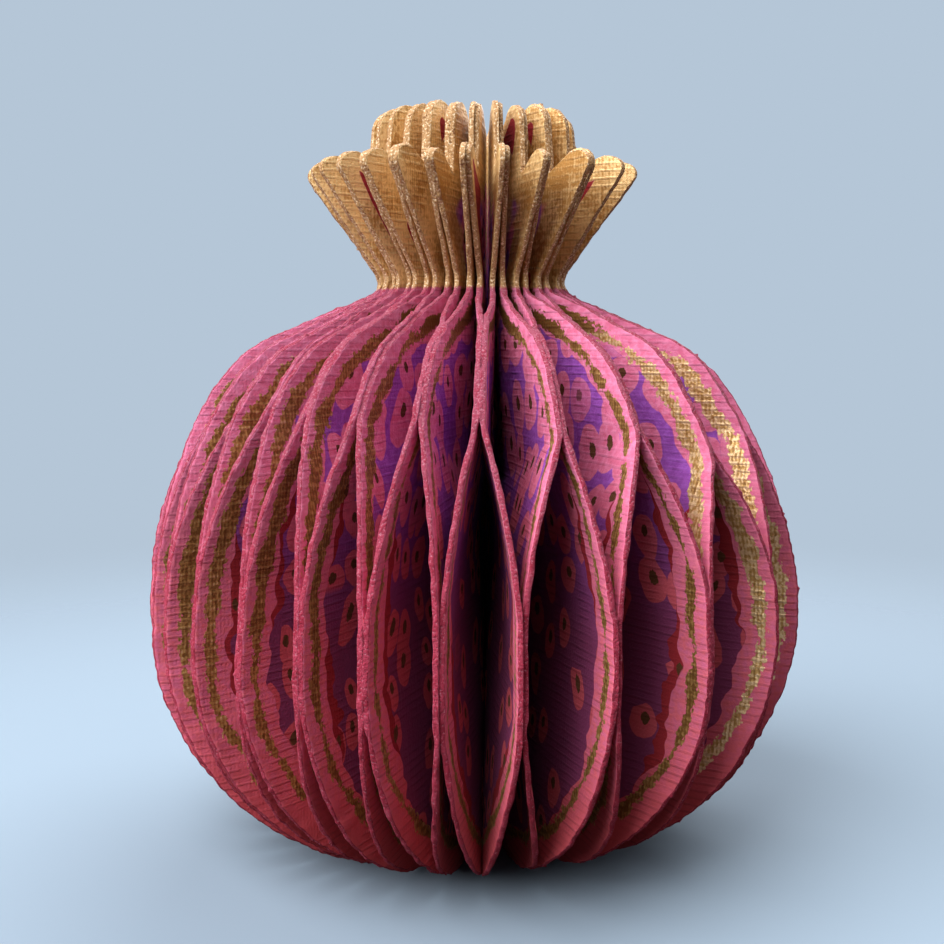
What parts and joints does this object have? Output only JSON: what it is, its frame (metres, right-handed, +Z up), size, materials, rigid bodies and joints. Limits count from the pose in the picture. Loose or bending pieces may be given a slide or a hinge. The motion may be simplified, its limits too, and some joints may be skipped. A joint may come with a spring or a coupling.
{
  "type": "paper pomegranate ornament",
  "caption": "Free-standing honeycomb paper ornament in the shape of a pomegranate with a flared crown, made of stiff printed leaves fanned round an open core.",
  "frame": {"origin": "centre of the base, on the surface it stands on", "axes": "+Z up along the core; -Y is the front that the picture shows; +X is to the right seen from the front"},
  "size_m": [0.0794, 0.0796, 0.0887],
  "materials": {
    "printed_paper": "matte, printed"
  },
  "bodies": {
    "root": {"leaf_01": "printed_paper", "leaf_02": "printed_paper", "leaf_03": "printed_paper", "leaf_04": "printed_paper", "leaf_05": "printed_paper", "leaf_06": "printed_paper", "leaf_07": "printed_paper", "leaf_08": "printed_paper", "leaf_09": "printed_paper", "leaf_10": "printed_paper", "leaf_11": "printed_paper", "leaf_12": "printed_paper", "leaf_13": "printed_paper", "leaf_14": "printed_paper", "leaf_15": "printed_paper", "leaf_16": "printed_paper", "leaf_17": "printed_paper", "leaf_18": "printed_paper", "leaf_19": "printed_paper", "leaf_20": "printed_paper", "leaf_21": "printed_paper", "leaf_22": "printed_paper", "leaf_23": "printed_paper", "leaf_24": "printed_paper", "leaf_25": "printed_paper", "leaf_26": "printed_paper", "leaf_27": "printed_paper", "leaf_28": "printed_paper", "leaf_29": "printed_paper", "leaf_30": "printed_paper", "leaf_31": "printed_paper", "leaf_32": "printed_paper", "leaf_33": "printed_paper", "leaf_34": "printed_paper", "leaf_35": "printed_paper", "leaf_36": "printed_paper", "leaf_37": "printed_paper", "leaf_38": "printed_paper", "leaf_39": "printed_paper", "leaf_40": "printed_paper", "leaf_41": "printed_paper", "leaf_42": "printed_paper", "leaf_43": "printed_paper", "leaf_44": "printed_paper"}
  },
  "joints": []
}
